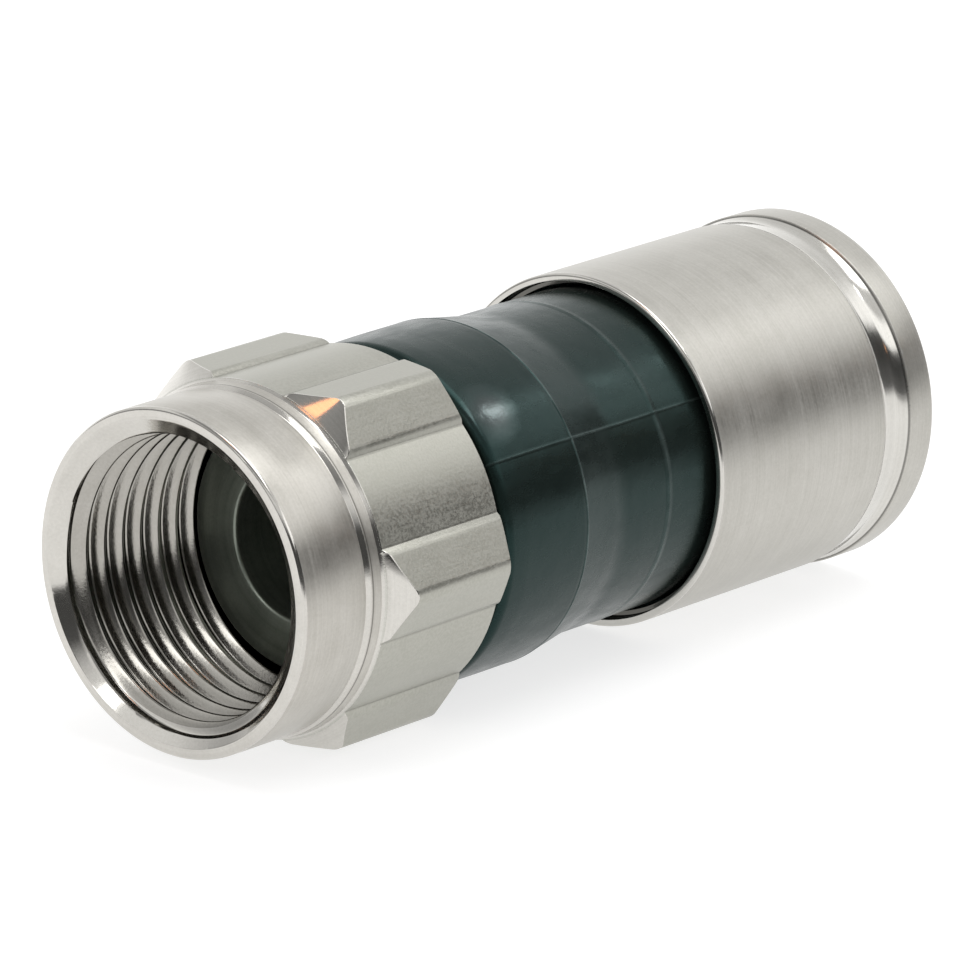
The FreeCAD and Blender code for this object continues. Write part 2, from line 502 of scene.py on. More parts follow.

# Plated metal: what its lines, spots and speckle do to its colour, with painted shade on the
# lobed bar, in corners and in bores, and a painted highlight on burnished areas
LINES_SHARE = 0.45
SPOTS_SHARE = 0.35
BROAD_SHARE = 0.20
SPECKLE = 0.30
DRAWN_SPECKLE = 0.90
DARK_END = 0.36
LIGHT_END = 0.64
DRAWN_SHADE_TINT = (0.35, 0.36, 0.31)
DRAWN_SHADE_SHARE = 0.50
SMOOTH_HIGHLIGHT_TINT = (0.80, 0.785, 0.75)
SMOOTH_HIGHLIGHT_SHARE = 0.30
CORNER_SHADE_SHARE = 0.75
CORNER_SHADE_LEVEL = 0.25
DEEP_SHADE_LEVEL = 0.30

# Plated metal: its gloss and relief
ROUGH_RANGE = (0.35, 0.65)
SMOOTH_GLOSS = 0.68
DRAWN_ROUGHER = 0.04
DEEP_SMOOTHER = 0.62
SMOOTH_FADE = 0.68
SPECKLE_RELIEF = 0.8


def scaled(colour, level):
    return tuple(level * part for part in colour)


def turned_metal(name, dark, light, roughness, relief, lines_per_mm, areas, metallic=1.0):
    """Nickel plate over turned brass: fine lines round the axis, soft blotches and speckle.

    areas(shader, x, y, z, radius) gives four masks: where the surface was burnished smooth
    and lightened as a painted highlight, where it keeps the lengthwise grain of the bar and is
    tinted darker as painted shade, where it lies deep in a bore and is darkened as painted
    shade, and the corners and seams that are darkened as painted shade.
    """
    shader = Shader(name)
    x, y, z = shader.place()
    radius = shader.from_axis(x, z)
    smooth, drawn, deep, corner_shade = areas(shader, x, y, z, radius)

    along = shader.plus(y, shader.times(radius, LINES_ACROSS_FACES))
    slow_x = shader.times(x, ROUND_STRETCH)
    slow_z = shader.times(z, ROUND_STRETCH)
    lines_at = shader.vector(slow_x, shader.times(along, lines_per_mm), slow_z)
    lines = shader.noise(lines_at, LINE_NOISE)
    if drawn != NOWHERE:
        grain_at = shader.vector(x, shader.times(y, LENGTH_STRETCH), z)
        lengthwise = shader.noise(grain_at, BAR_GRAIN_NOISE)
        lines = shader.choose(drawn, lines, lengthwise)
    broad_at = shader.vector(slow_x, shader.times(along, BROAD_LINES_PER_MM), slow_z)
    broad = shader.noise(broad_at, BROAD_NOISE)
    point = shader.vector(x, y, z)
    spots = shader.noise(point, SPOT_NOISE)
    grain = shader.noise(point, SPECKLE_NOISE)

    mixed = shader.plus(shader.times(lines, LINES_SHARE), shader.times(spots, SPOTS_SHARE))
    mixed = shader.plus(mixed, shader.times(broad, BROAD_SHARE))
    strength = shader.plus(SPECKLE, shader.times(drawn, DRAWN_SPECKLE))
    mixed = shader.plus(mixed, shader.times(shader.minus(grain, 0.5), strength))
    colour = shader.ramp(mixed, [(DARK_END, dark), (LIGHT_END, light)])
    # Painted shade: the lobed bar is tinted darker and greener.
    colour = shader.tint(shader.times(drawn, DRAWN_SHADE_SHARE), colour, DRAWN_SHADE_TINT)
    # Painted highlight: burnished areas are lightened.
    colour = shader.tint(shader.times(smooth, SMOOTH_HIGHLIGHT_SHARE), colour, SMOOTH_HIGHLIGHT_TINT)
    # Painted shade: corners and seams are darkened.
    colour = shader.tint(shader.times(corner_shade, CORNER_SHADE_SHARE), colour, scaled(dark, CORNER_SHADE_LEVEL))
    # Painted shade: the thread and the bores are darkened.
    colour = shader.tint(deep, colour, scaled(dark, DEEP_SHADE_LEVEL))

    rough = shader.spread(mixed, ROUGH_RANGE, roughness)
    finish = shader.times(rough, shader.minus(1.0, shader.times(smooth, SMOOTH_GLOSS)))
    coarser = shader.minus(shader.times(drawn, DRAWN_ROUGHER), shader.times(deep, DEEP_SMOOTHER))
    finish = shader.plus(finish, coarser)

    fade = shader.minus(1.0, shader.times(smooth, SMOOTH_FADE))
    normal = shader.bump(shader.times(lines, fade), relief)
    speckled = shader.times(grain, shader.plus(fade, drawn))
    normal = shader.bump(speckled, relief * SPECKLE_RELIEF, normal)
    shader.set(Base_Color=colour, Metallic=metallic, Roughness=finish, Normal=normal)
    return shader.material


def lobe_foot(shader, x, z):
    """Mask of the corner where a lobe's side walls meet the barrel."""
    past_wall = 0.25
    half_width = 0.55
    half_spacing = LOBE_SPACING / 2
    degrees = shader.times(shader.math("ARCTAN2", z, x), 180.0 / math.pi)
    turn = shader.math("FLOORED_MODULO", shader.plus(degrees, half_spacing), LOBE_SPACING)
    off = shader.math("ABSOLUTE", shader.minus(turn, half_spacing))
    return shader.near(off, LOBE_BASE_ANGLE + past_wall, half_width, SOFT)


def nut_areas(shader, x, y, z, radius):
    """The nut: mouth, groove and lobe chamfers are burnished and lightened as a painted highlight,
    the lobed bar keeps its grain and is tinted as painted shade, and the thread, the bore behind
    it, the lobes' feet and a seam are darkened as painted shade.
    """
    groove_reach, step_reach, chamfer_reach, seam_reach = 0.11, 0.08, 0.05, 0.04
    mouth_margin, chamfer_from, relief_margin = 0.03, 0.03, 0.01
    seam_y, seam_depth = SHOULDER_FRONT + 0.07, 0.4
    chamfer_shine, thread_shade, foot_shade = 1.12, 0.30, 0.40
    groove_y = (GROOVE_FRONT + SHOULDER_FRONT) / 2
    bore = shader.below(radius, MOUTH_RADIUS - AREA_MARGIN)
    outside = shader.minus(1.0, bore)
    proud = shader.minus(radius, BARREL_RADIUS)

    mouth = shader.below(y, NUT_FRONT + COUNTERSINK_DEPTH + mouth_margin)
    mouth = shader.times(mouth, bore)
    rim = shader.below(y, NUT_FRONT + COLLAR_EDGE + AREA_MARGIN)
    groove = shader.near(y, groove_y, groove_reach, HARD)
    step = shader.near(y, SHOULDER_REAR, step_reach, HARD)
    groove = shader.times(shader.larger(groove, step), outside)
    chamfer = shader.near(shader.minus(proud, y), -SHOULDER_REAR, chamfer_reach, HARD)
    chamfer = shader.times(chamfer, shader.above(proud, chamfer_from))
    faced = shader.times(chamfer, chamfer_shine)
    smooth = shader.larger(shader.larger(rim, groove), shader.larger(mouth, faced))

    drawn = shader.times(shader.above(y, SHOULDER_REAR + AREA_MARGIN), outside)
    drawn = shader.times(drawn, shader.minus(1.0, chamfer))

    # Painted shade: the thread and the bore behind it are darkened.
    threaded = shader.times(shader.minus(bore, mouth), thread_shade)
    behind = shader.times(bore, shader.above(y, THREAD_RUNOUT + relief_margin))
    deep = shader.larger(threaded, behind)

    # Painted shade in the corners where the lobes' walls meet the barrel, and along the seam
    # behind the groove.
    foot = shader.times(shader.times(lobe_foot(shader, x, z), drawn), foot_shade)
    seam = shader.near(y, seam_y, seam_reach, SOFT)
    seam = shader.times(seam, shader.above(proud, -seam_depth))
    return smooth, drawn, deep, shader.larger(foot, seam)


def sleeve_areas(shader, x, y, z, radius):
    """The sleeve: the rolled cove and the front edge are burnished and lightened as a painted
    highlight; the bore and the seam at the flange are darkened as painted shade.
    """
    seam_y, seam_reach = FLANGE_FRONT + 0.01, 0.045
    bore = shader.below(radius, MOUTH_BORE + AREA_MARGIN)
    outside = shader.minus(1.0, bore)
    half_cove = (FLANGE_FRONT - COVE_FRONT) / 2
    cove = shader.near(y, COVE_FRONT + half_cove, half_cove + COVE_LEAD, 2 * HARD)
    edge = shader.below(y, SLEEVE_FRONT + SLEEVE_EDGE)
    smooth = shader.times(shader.larger(cove, edge), outside)
    deep = shader.times(bore, shader.below(y, RAMP_REAR))
    # Painted shade along the seam where the cove meets the flange.
    seam = shader.times(shader.near(y, seam_y, seam_reach, SOFT), outside)
    return smooth, NOWHERE, deep, seam


def post_areas(shader, x, y, z, radius):
    """The post: turned all over, with no other finish on it."""
    return NOWHERE, NOWHERE, NOWHERE, NOWHERE


def mould_marks(shader, x, y, z):
    """Mask of the body's parting lines, insert line and witness ring, before any wear."""
    parting_level, witness_level = 0.40, 0.50
    witness_sharpness = 1.2
    skin = 0.05
    turn = math.radians(PARTING_DEGREES)
    aside = shader.minus(shader.times(x, math.sin(turn)), shader.times(z, math.cos(turn)))
    parting = shader.near(aside, 0.0, PARTING_HALF_WIDTH, SOFT)
    insert = shader.near(y, RING_END, INSERT_HALF_WIDTH, SOFT)
    witness = shader.near(y, WITNESS_Y, WITNESS_HALF_WIDTH, witness_sharpness)
    marks = shader.larger(shader.times(parting, parting_level), insert)
    marks = shader.larger(marks, shader.times(witness, witness_level))
    return shader.times(marks, shader.above(shader.from_axis(x, z), TAIL_RADIUS - skin))


def rubbed_sheen_spot(shader, x, y, z, smear):
    """Mask of the ring's finger-worn place, which also carries a painted sheen, with a ragged edge
    made by the smears.
    """
    raggedness = 0.8
    sharpness = 2.0
    turn = math.radians(RUBBED_DEGREES)
    centre = (RING_RADIUS * math.cos(turn), RUBBED_Y, RING_RADIUS * math.sin(turn))
    squares = 0.0
    for here, middle in zip((x, y, z), centre):
        offset = shader.minus(here, middle)
        squares = shader.plus(squares, shader.times(offset, offset))
    ragged = shader.plus(shader.math("SQRT", squares), shader.times(smear, raggedness))
    return shader.near(ragged, 0.0, RUBBED_RADIUS, sharpness)


def moulded_plastic(name):
    """Dark blue-green glossy plastic with pale mould lines, flow marks and fine pits."""
    black, dark = (0.006, 0.009, 0.008), (0.010, 0.014, 0.012)
    mark_colour = (0.105, 0.135, 0.130)
    gloss_tint, sheen_tint = (0.45, 0.94, 0.90), (0.80, 1.0, 1.0)
    gloss, sheen_level = 0.34, 0.95
    rough_from, rough_to = (0.35, 0.70), (0.22, 0.34)
    rubbed_roughness = 0.45
    least_wear, wear_contrast = 0.32, 2.2
    smear_stretch = 0.4
    pit_depth, wave_height = 0.006, 0.03

    shader = Shader(name)
    x, y, z = shader.place()
    point = shader.vector(x, y, z)
    cloud = shader.noise(point, CLOUD_NOISE)
    colour = shader.ramp(cloud, [(0.3, black), (0.7, dark)])
    wear = shader.noise(point, WEAR_NOISE)
    wear = shader.times(shader.minus(wear, least_wear), wear_contrast)
    wear = shader.smaller(shader.larger(wear, 0.0), 1.0)
    marks = shader.times(mould_marks(shader, x, y, z), wear)
    colour = shader.tint(marks, colour, mark_colour)

    smear = shader.noise(shader.vector(x, shader.times(y, smear_stretch), z), SMEAR_NOISE)
    rough = shader.spread(smear, rough_from, rough_to)
    rubbed_sheen = rubbed_sheen_spot(shader, x, y, z, smear)
    finish = shader.choose(rubbed_sheen, rough, shader.times(rough, rubbed_roughness))
    # Painted sheen on the finger-worn spot: raised specular level and a whiter specular tint.
    level = shader.choose(rubbed_sheen, gloss, sheen_level)
    hue = shader.tint(rubbed_sheen, gloss_tint, sheen_tint)

    normal = shader.bump(shader.noise(point, PIT_NOISE), pit_depth)
    normal = shader.bump(shader.noise(point, WAVE_NOISE), wave_height, normal)
    shader.set(Base_Color=colour, Roughness=finish, IOR=1.50, Normal=normal)
    shader.set(Specular_IOR_Level=level, Specular_Tint=hue)
    return shader.material


def rubber(name):
    """Matt black rubber with a dusty bloom."""
    black, dusty = (0.008, 0.008, 0.008), (0.022, 0.022, 0.021)
    bloom_height = 0.01
    shader = Shader(name)
    dust = shader.noise(shader.vector(*shader.place()), DUST_NOISE)
    colour = shader.ramp(dust, [(0.35, black), (0.7, dusty)])
    shader.set(Base_Color=colour, Roughness=0.62, Normal=shader.bump(dust, bloom_height))
    return shader.material


def lit_paper(name):
    """White paper under the part. Its glow fades towards +X, to darken what reflects it there."""
    fade = (50.0 * MM, 140.0 * MM)
    glow_range = (0.74, 0.02)
    shader = Shader(name)
    x = shader.coordinates("Object")[0]
    glow = shader.spread(x, fade, glow_range, "SMOOTHSTEP")
    shader.set(Base_Color=(0.36, 0.36, 0.36), Roughness=0.95)
    shader.set(Emission_Color=(1.0, 1.0, 1.0), Emission_Strength=glow)
    return shader.material


nut_nickel = turned_metal(
    "nut_nickel",
    dark=(0.438, 0.421, 0.382),
    light=(0.560, 0.542, 0.502),
    roughness=(0.30, 0.40),
    relief=0.0025,
    lines_per_mm=10.0,
    areas=nut_areas,
)
sleeve_nickel = turned_metal(
    "sleeve_nickel",
    dark=(0.443, 0.431, 0.394),
    light=(0.560, 0.547, 0.510),
    roughness=(0.34, 0.44),
    relief=0.0025,
    lines_per_mm=13.0,
    areas=sleeve_areas,
)
# The post is the same nickel as the nut and sleeve, made darker and greener as painted shade for
# its place inside the nut.
shaded_post_nickel = turned_metal(
    "shaded_post_nickel",
    dark=(0.20, 0.225, 0.19),
    light=(0.30, 0.325, 0.28),
    roughness=(0.28, 0.38),
    relief=0.003,
    lines_per_mm=8.0,
    areas=post_areas,
    metallic=0.8,
)
body_plastic = moulded_plastic("body_plastic")
seal_rubber = rubber("seal_rubber")
paper = lit_paper("white_paper")


# Coupling nut
def tip_rounding():
    """Where a lobe's rounded tip has its centre, as a radius, and the angle where it ends."""
    lean = math.radians(LOBE_SPACING / 2)
    centre = (HALF_FLATS - CORNER_ROUNDING) / math.cos(lean)
    end_x = centre + CORNER_ROUNDING * math.cos(lean)
    end_z = CORNER_ROUNDING * math.sin(lean)
    return centre, math.degrees(math.atan2(end_z, end_x))


def lobe_angles():
    """Columns round the nut in degrees, close together at the lobes' walls and corners."""
    tip_steps = 5
    facet_steps = 6
    edge_steps = 4
    valley_steps = 26
    tip_end = tip_rounding()[1]
    flat_end = LOBE_HALF_ANGLE - LOBE_EDGE_SPREAD
    half = [tip_end * step / tip_steps for step in range(tip_steps + 1)]
    for step in range(1, facet_steps + 1):
        half.append(tip_end + (flat_end - tip_end) * step / facet_steps)
    for step in range(1, edge_steps + 1):
        half.append(flat_end + 2 * LOBE_EDGE_SPREAD * step / edge_steps)
    half.append(LOBE_BASE_ANGLE)
    valley = LOBE_SPACING - 2 * LOBE_BASE_ANGLE
    angles = []
    for lobe in range(LOBES):
        middle = LOBE_SPACING * lobe
        angles += [middle + off for off in half]
        for step in range(1, valley_steps):
            angles.append(middle + LOBE_BASE_ANGLE + valley * step / valley_steps)
        angles += [middle + LOBE_SPACING - off for off in reversed(half[1:])]
    return angles


def worn_edge(past):
    """Radius of the bar at an angle past a lobe's edge, which wear has turned into a curve."""
    edge_turn = math.radians(LOBE_SPACING / 2 - LOBE_HALF_ANGLE)
    edge = HALF_FLATS / math.cos(edge_turn)
    flat_slope = -math.radians(1.0) * edge * math.tan(edge_turn)
    wall_slope = (BARREL_RADIUS - edge) / (LOBE_BASE_ANGLE - LOBE_HALF_ANGLE)
    if past >= LOBE_EDGE_SPREAD:
        return edge + wall_slope * past
    turned = (past + LOBE_EDGE_SPREAD) ** 2 / (4 * LOBE_EDGE_SPREAD)
    return edge + flat_slope * past + (wall_slope - flat_slope) * turned


def bar_radius(degrees):
    """Radius of the lobed bar: hexagon corners with rounded tips on a round barrel."""
    half_spacing = LOBE_SPACING / 2
    off = abs((degrees + half_spacing) % LOBE_SPACING - half_spacing)
    if off > LOBE_BASE_ANGLE - SAME_ANGLE:
        return BARREL_RADIUS
    if off > LOBE_HALF_ANGLE - LOBE_EDGE_SPREAD - SAME_ANGLE:
        return worn_edge(off - LOBE_HALF_ANGLE)
    centre, tip_end = tip_rounding()
    if off > tip_end + SAME_ANGLE:
        return HALF_FLATS / math.cos(math.radians(half_spacing - off))
    turn = math.radians(off)
    inside = CORNER_ROUNDING ** 2 - (centre * math.sin(turn)) ** 2
    return centre * math.cos(turn) + math.sqrt(inside)


def thread_profile():
    """One pitch of the internal thread as (offset along the axis, radius)."""
    crest_shares = (0.0, 0.25, 0.5, 0.75, 1.0)
    flank_shares = (0.12, 0.35, 0.65, 0.88)
    edge_share = 0.4
    flank = (PITCH - CREST_FLAT - ROOT_FLAT) / 2
    rise = THREAD_MAJOR - THREAD_MINOR
    edge_rise = THREAD_EDGE * (rise / flank) * edge_share
    points = [(0.0, THREAD_MINOR + edge_rise)]
    for share in crest_shares:
        points.append((THREAD_EDGE + (CREST_FLAT - 2 * THREAD_EDGE) * share, THREAD_MINOR))
    points.append((CREST_FLAT, THREAD_MINOR + edge_rise))
    for share in flank_shares:
        points.append((CREST_FLAT + flank * share, THREAD_MINOR + rise * share))
    points.append((CREST_FLAT + flank, THREAD_MAJOR - edge_rise))
    points.append((CREST_FLAT + flank + THREAD_EDGE, THREAD_MAJOR))
    points.append((PITCH - flank - THREAD_EDGE, THREAD_MAJOR))
    points.append((PITCH - flank, THREAD_MAJOR - edge_rise))
    for share in reversed(flank_shares):
        points.append((PITCH - flank * share, THREAD_MINOR + rise * share))
    return points


def thread_rows(profile):
    """The profile repeated over every turn that the nut needs, as (y at 0 degrees, radius)."""
    phase = CREST_AT_Y + PITCH * CREST_AT_DEGREES / 360.0 - CREST_FLAT / 2
    first_turn = math.floor((NUT_FRONT - phase) / PITCH) - 1
    last_turn = math.ceil((THREAD_RUNOUT + PITCH - phase) / PITCH) + 1
    rows = []
    for turn in range(first_turn, last_turn + 1):
        for offset, radius in profile:
            rows.append((phase + turn * PITCH + offset, radius))
    return rows


def countersink(y):
    """Radius of the countersunk mouth at y."""
    share = (y - NUT_FRONT) / COUNTERSINK_DEPTH
    return MOUTH_RADIUS + (THREAD_MINOR - MOUTH_RADIUS) * share


def runout(y):
    """Least radius near the thread's rear end, where the crests are chamfered away."""
    return THREAD_MAJOR - RUNOUT_SLOPE * max(0.0, THREAD_RUNOUT - y)


def thread_column(rows, degrees):
    """The threaded bore at one angle, as (radius, y) from the mouth to the run-out."""
    points = []
    for row_y, radius in rows:
        y = row_y - PITCH * degrees / 360.0
        clamped = min(max(y, NUT_FRONT), THREAD_RUNOUT)
        full = radius if clamped == y else THREAD_MINOR
        points.append((max(full, countersink(clamped), runout(clamped)), clamped))
    return points


def shell_column(degrees):
    """The rest of the nut at one angle, as (radius, y) from the thread's end to the mouth."""
    near_arc, far_arc = COLLAR_EDGE * 0.12, COLLAR_EDGE * 0.55
    bar = bar_radius(degrees)
    rise = bar - BARREL_RADIUS
    lobe_front = SHOULDER_REAR + rise / math.tan(math.radians(FRONT_CHAMFER))
    lobe_rear = NUT_REAR - rise / math.tan(math.radians(REAR_CHAMFER))
    return [
        (RELIEF_RADIUS, THREAD_RUNOUT),
        (RELIEF_RADIUS, LIP_FRONT),
        (LIP_BORE + NUT_EDGE, LIP_FRONT),
        (LIP_BORE, LIP_FRONT + NUT_EDGE),
        (LIP_BORE, LIP_REAR - NUT_EDGE),
        (LIP_BORE + NUT_EDGE, LIP_REAR),
        (COUNTERBORE, LIP_REAR),
        (COUNTERBORE, NUT_REAR - NUT_EDGE),
        (COUNTERBORE + NUT_EDGE, NUT_REAR),
        (BARREL_RADIUS - NUT_EDGE, NUT_REAR),
        (BARREL_RADIUS, NUT_REAR - NUT_EDGE),
        (bar, min(lobe_rear, NUT_REAR - NUT_EDGE)),
        (bar, max(lobe_front, SHOULDER_REAR + NUT_EDGE)),
        (BARREL_RADIUS, SHOULDER_REAR + NUT_EDGE),
        (BARREL_RADIUS - STEP_FALL, SHOULDER_REAR - STEP_RUN),
        (SHOULDER_LAND, GROOVE_REAR),
        (SHOULDER_LAND - LAND_TAPER, SHOULDER_FRONT),
        (COLLAR_RADIUS - GROOVE_REAR_DEPTH, GROOVE_FRONT + 2 * GROOVE_WALL),
        (COLLAR_RADIUS - GROOVE_DEPTH, GROOVE_FRONT + GROOVE_WALL),
        (COLLAR_RADIUS, GROOVE_FRONT - GROOVE_LIP),
        (COLLAR_RADIUS, NUT_FRONT + COLLAR_EDGE),
        (COLLAR_RADIUS - near_arc, NUT_FRONT + far_arc),
        (COLLAR_RADIUS - far_arc, NUT_FRONT + near_arc),
        (COLLAR_RADIUS - COLLAR_EDGE, NUT_FRONT),
        (MOUTH_RADIUS + MOUTH_EDGE, NUT_FRONT),
    ]


def add_face(bm, corners):
    """Face through the corners that stand apart, if at least three do."""
    kept = []
    for corner in corners:
        if all((corner.co - other.co).length > SMALLEST_GAP * MM for other in kept):
            kept.append(corner)
    if len(kept) >= 3:
        bm.faces.new(kept)


def build_nut():
    """The nut's mesh. Each column runs through the bore and back over the outside."""
    bm = bmesh.new()
    profile = thread_profile()
    rows = thread_rows(profile)
    threads = []
    shells = []
    for degrees in lobe_angles():
        threads.append(add_column(bm, thread_column(rows, degrees), degrees))
        shells.append(add_column(bm, shell_column(degrees), degrees))
    last = len(rows) - 1
    for index, thread in enumerate(threads):
        # After a full turn the helix has moved by one pitch, so the rows are matched that far back
        after = (index + 1) % len(threads)
        back = len(profile) if after == 0 else 0
        matched = [threads[after][max(row - back, 0)] for row in range(last + 1)]
        for row in range(last):
            add_face(bm, [thread[row], thread[row + 1], matched[row + 1], matched[row]])
        here = [thread[last], *shells[index], thread[0]]
        there = [matched[last], *shells[after], matched[0]]
        for row in range(len(here) - 1):
            bm.faces.new((here[row], here[row + 1], there[row + 1], there[row]))
    return bm


new_piece("nut_turned", build_nut(), "nut", "coupling_nut", nut_nickel, NUT_BEVEL)

# Inner post
post_outline = [
    (BORE_RADIUS, 0.0, BORE_EDGE, 6),
    (FLANGE_RADIUS, 0.0, FLANGE_EDGE),
    (FLANGE_RADIUS, FLANGE_THICKNESS),
    (NECK_RADIUS, FLANGE_THICKNESS),
    (NECK_RADIUS, CAVITY_FRONT),
    (TUBE_RADIUS, CAVITY_FRONT),
    (TUBE_RADIUS, BARB_FRONT),
    (BARB_RADIUS, BARB_FRONT),
    (TUBE_RADIUS, BARB_REAR),
    (TIP_RADIUS, POST_LENGTH),
    (BORE_RADIUS, POST_LENGTH),
]
post_mesh = lathe(outline_points(post_outline), even_angles(POST_COLUMNS))
new_piece("post_turned", post_mesh, "body", "inner_post", shaded_post_nickel)


# Connector body
def parting_line(radius, y, degrees):
    """Raised line where the mould halves meet, on the outside of the ring, taper and tail."""
    skin = 0.02
    if radius < TAIL_RADIUS - skin or y > PARTING_REAR:
        return 0.0
    off = abs((degrees - PARTING_DEGREES + 90.0) % 180.0 - 90.0)
    distance = math.radians(off) * radius
    return PARTING_HEIGHT * max(0.0, 1.0 - distance / PARTING_HALF_WIDTH)


def body_angles():
    """Columns round the body in degrees, with extra ones across the two parting lines."""
    angles = even_angles(BODY_COLUMNS)
    for side in (PARTING_DEGREES, PARTING_DEGREES + 180.0):
        for off in PARTING_OFFS:
            angles.append(side + off)
    return sorted(set(round(angle, 4) for angle in angles))


def serrations():
    """Teeth inside the skirt, from the cable end inwards."""
    corners = []
    for tooth in range(SERRATIONS):
        tooth_rear = BODY_REAR - tooth * SERRATION_LENGTH
        corners.append((CABLE_CAVITY, tooth_rear))
        corners.append((CABLE_CAVITY - SERRATION_DEPTH, tooth_rear - SERRATION_LENGTH))
    return corners


crown_middle = RING_RADIUS - CROWN_HEIGHT * CROWN_MIDDLE_SHARE
body_outline = [
    (NECK_RADIUS, HUB_FRONT),
    (HUB_RADIUS, HUB_FRONT, HUB_EDGE),
    (HUB_RADIUS, BODY_FRONT, HUB_FOOT),
    (RING_RADIUS - CROWN_HEIGHT, BODY_FRONT, RING_EDGE, 8),
    (crown_middle, BODY_FRONT + CROWN_LENGTH / 2, CROWN_MIDDLE_ROUNDING),
    (RING_RADIUS, BODY_FRONT + CROWN_LENGTH, CROWN_END_ROUNDING),
    (RING_RADIUS, RING_END - 3 * INSERT_HALF_WIDTH, RING_END_EDGE),
    (RING_RADIUS - INSERT_HEIGHT / 2, RING_END - INSERT_HALF_WIDTH, MARK_ROUNDING),
    (RING_RADIUS + INSERT_HEIGHT / 2, RING_END),
    (RING_RADIUS - INSERT_HEIGHT / 2, RING_END + INSERT_HALF_WIDTH, MARK_ROUNDING),
    (TAIL_RADIUS, TAPER_END, TAPER_ROUNDING, 10),
    (TAIL_RADIUS, WITNESS_Y - WITNESS_HALF_WIDTH, WITNESS_FOOT),
    (TAIL_RADIUS + WITNESS_HEIGHT, WITNESS_Y, MARK_ROUNDING),
    (TAIL_RADIUS, WITNESS_Y + WITNESS_HALF_WIDTH, WITNESS_FOOT),
    (TAIL_RADIUS, RIDGE_FRONT),
    (RIDGE_RADIUS, RIDGE_FRONT),
    (RIDGE_RADIUS, (RIDGE_FRONT + RIDGE_REAR) / 2),
    (TAIL_RADIUS, RIDGE_REAR),
    (SKIRT_TIP, BODY_REAR, SKIRT_EDGE),
    *serrations(),
    (CABLE_CAVITY, BODY_REAR - SERRATIONS * SERRATION_LENGTH),
    (CABLE_CAVITY, CAVITY_FRONT),
    (NECK_RADIUS, CAVITY_FRONT),
]
body_mesh = lathe(outline_points(body_outline), body_angles(), parting_line)
new_piece("body_moulded", body_mesh, "body", "connector_body", body_plastic)

# Seal ring
seal_circle = []
for section_angle in even_angles(SEAL_SECTION_STEPS):
    section_turn = math.radians(section_angle)
    circle_radius = SEAL_CENTRE_RADIUS + SEAL_SECTION * math.cos(section_turn)
    circle_y = SEAL_CENTRE_Y + SEAL_SECTION * math.sin(section_turn)
    seal_circle.append((circle_radius, circle_y))
seal_mesh = lathe(seal_circle, even_angles(SEAL_COLUMNS))
new_piece("seal_ring", seal_mesh, "body", "nut_seal_ring", seal_rubber)

# Compression sleeve
sleeve_outline = [
    (MOUTH_BORE, SLEEVE_FRONT),
    (SLEEVE_RADIUS, SLEEVE_FRONT, SLEEVE_EDGE, 5),
    (SLEEVE_RADIUS, COVE_FRONT - COVE_LEAD, COVE_LEAD_ROUNDING),
    (SLEEVE_RADIUS - COVE_DEPTH / 2, COVE_FRONT + COVE_LEAD, COVE_WALL_ROUNDING, 6),
    (SLEEVE_RADIUS - COVE_DEPTH, COVE_BOTTOM, COVE_ROUNDING, 10),
    (SLEEVE_RADIUS, FLANGE_FRONT, FLANGE_FOOT),
    (SLEEVE_FLANGE, FLANGE_FRONT + FLANGE_LEAN),
    (SLEEVE_FLANGE, SLEEVE_REAR, REAR_EDGE, 6),
    (ENTRY_RADIUS + ENTRY_CHAMFER, SLEEVE_REAR),
    (ENTRY_RADIUS, SLEEVE_REAR - ENTRY_CHAMFER),
    (ENTRY_RADIUS, RAMP_REAR),
    (SLEEVE_CAVITY, RAMP_FRONT),
    (SLEEVE_CAVITY, LAND_REAR),
    (LAND_RADIUS, LAND_REAR),
    (LAND_RADIUS, LAND_FRONT),
    (MOUTH_BORE, LAND_FRONT),
]
sleeve_mesh = lathe(outline_points(sleeve_outline), even_angles(SLEEVE_COLUMNS))
new_piece(
    "sleeve_turned", sleeve_mesh, "sleeve", "compression_sleeve", sleeve_nickel
)

# Floor, under the lowest point of the part
FLOOR_HALF = 1500.0
half_floor = FLOOR_HALF * MM
floor_corners = []
for across, along in ((-1, -1), (1, -1), (1, 1), (-1, 1)):
    floor_corners.append((across * half_floor, along * half_floor, cad_low.z))
floor_mesh = bpy.data.meshes.new("floor")
floor_mesh.from_pydata(floor_corners, [], [(0, 1, 2, 3)])
floor_mesh.materials.append(paper)
floor = bpy.data.objects.new("floor", floor_mesh)
bpy.context.scene.collection.objects.link(floor)


# Lights
LIGHT_AIM = Vector((0.0, 9.0, 0.0)) * MM
WHITE = (1.0, 1.0, 1.0)
AMBER = (1.0, 0.38, 0.14)
PALE_AMBER = (1.0, 0.45, 0.18)


def soft_light(name, azimuth, elevation, distance, size, power, colour=WHITE, stretch=1.0):
    """Soft light aimed at the part, in degrees, millimetres and watts.

    Azimuth 0 is towards -Y and 90 towards +X. The stretch is its height over its width.
    """
    data = bpy.data.lights.new(name, "AREA")
    data.shape = "RECTANGLE"
    data.size = size * MM
    data.size_y = size * MM * stretch
    data.energy = power
    data.color = colour
    lamp = bpy.data.objects.new(name, data)
    bpy.context.scene.collection.objects.link(lamp)
    a, e = math.radians(azimuth), math.radians(elevation)
    direction = Vector((math.sin(a) * math.cos(e), -math.cos(a) * math.cos(e), math.sin(e)))
    lamp.location = LIGHT_AIM + direction * distance * MM
    lamp.rotation_mode = "QUATERNION"
    lamp.rotation_quaternion = direction.to_track_quat("Z", "Y")


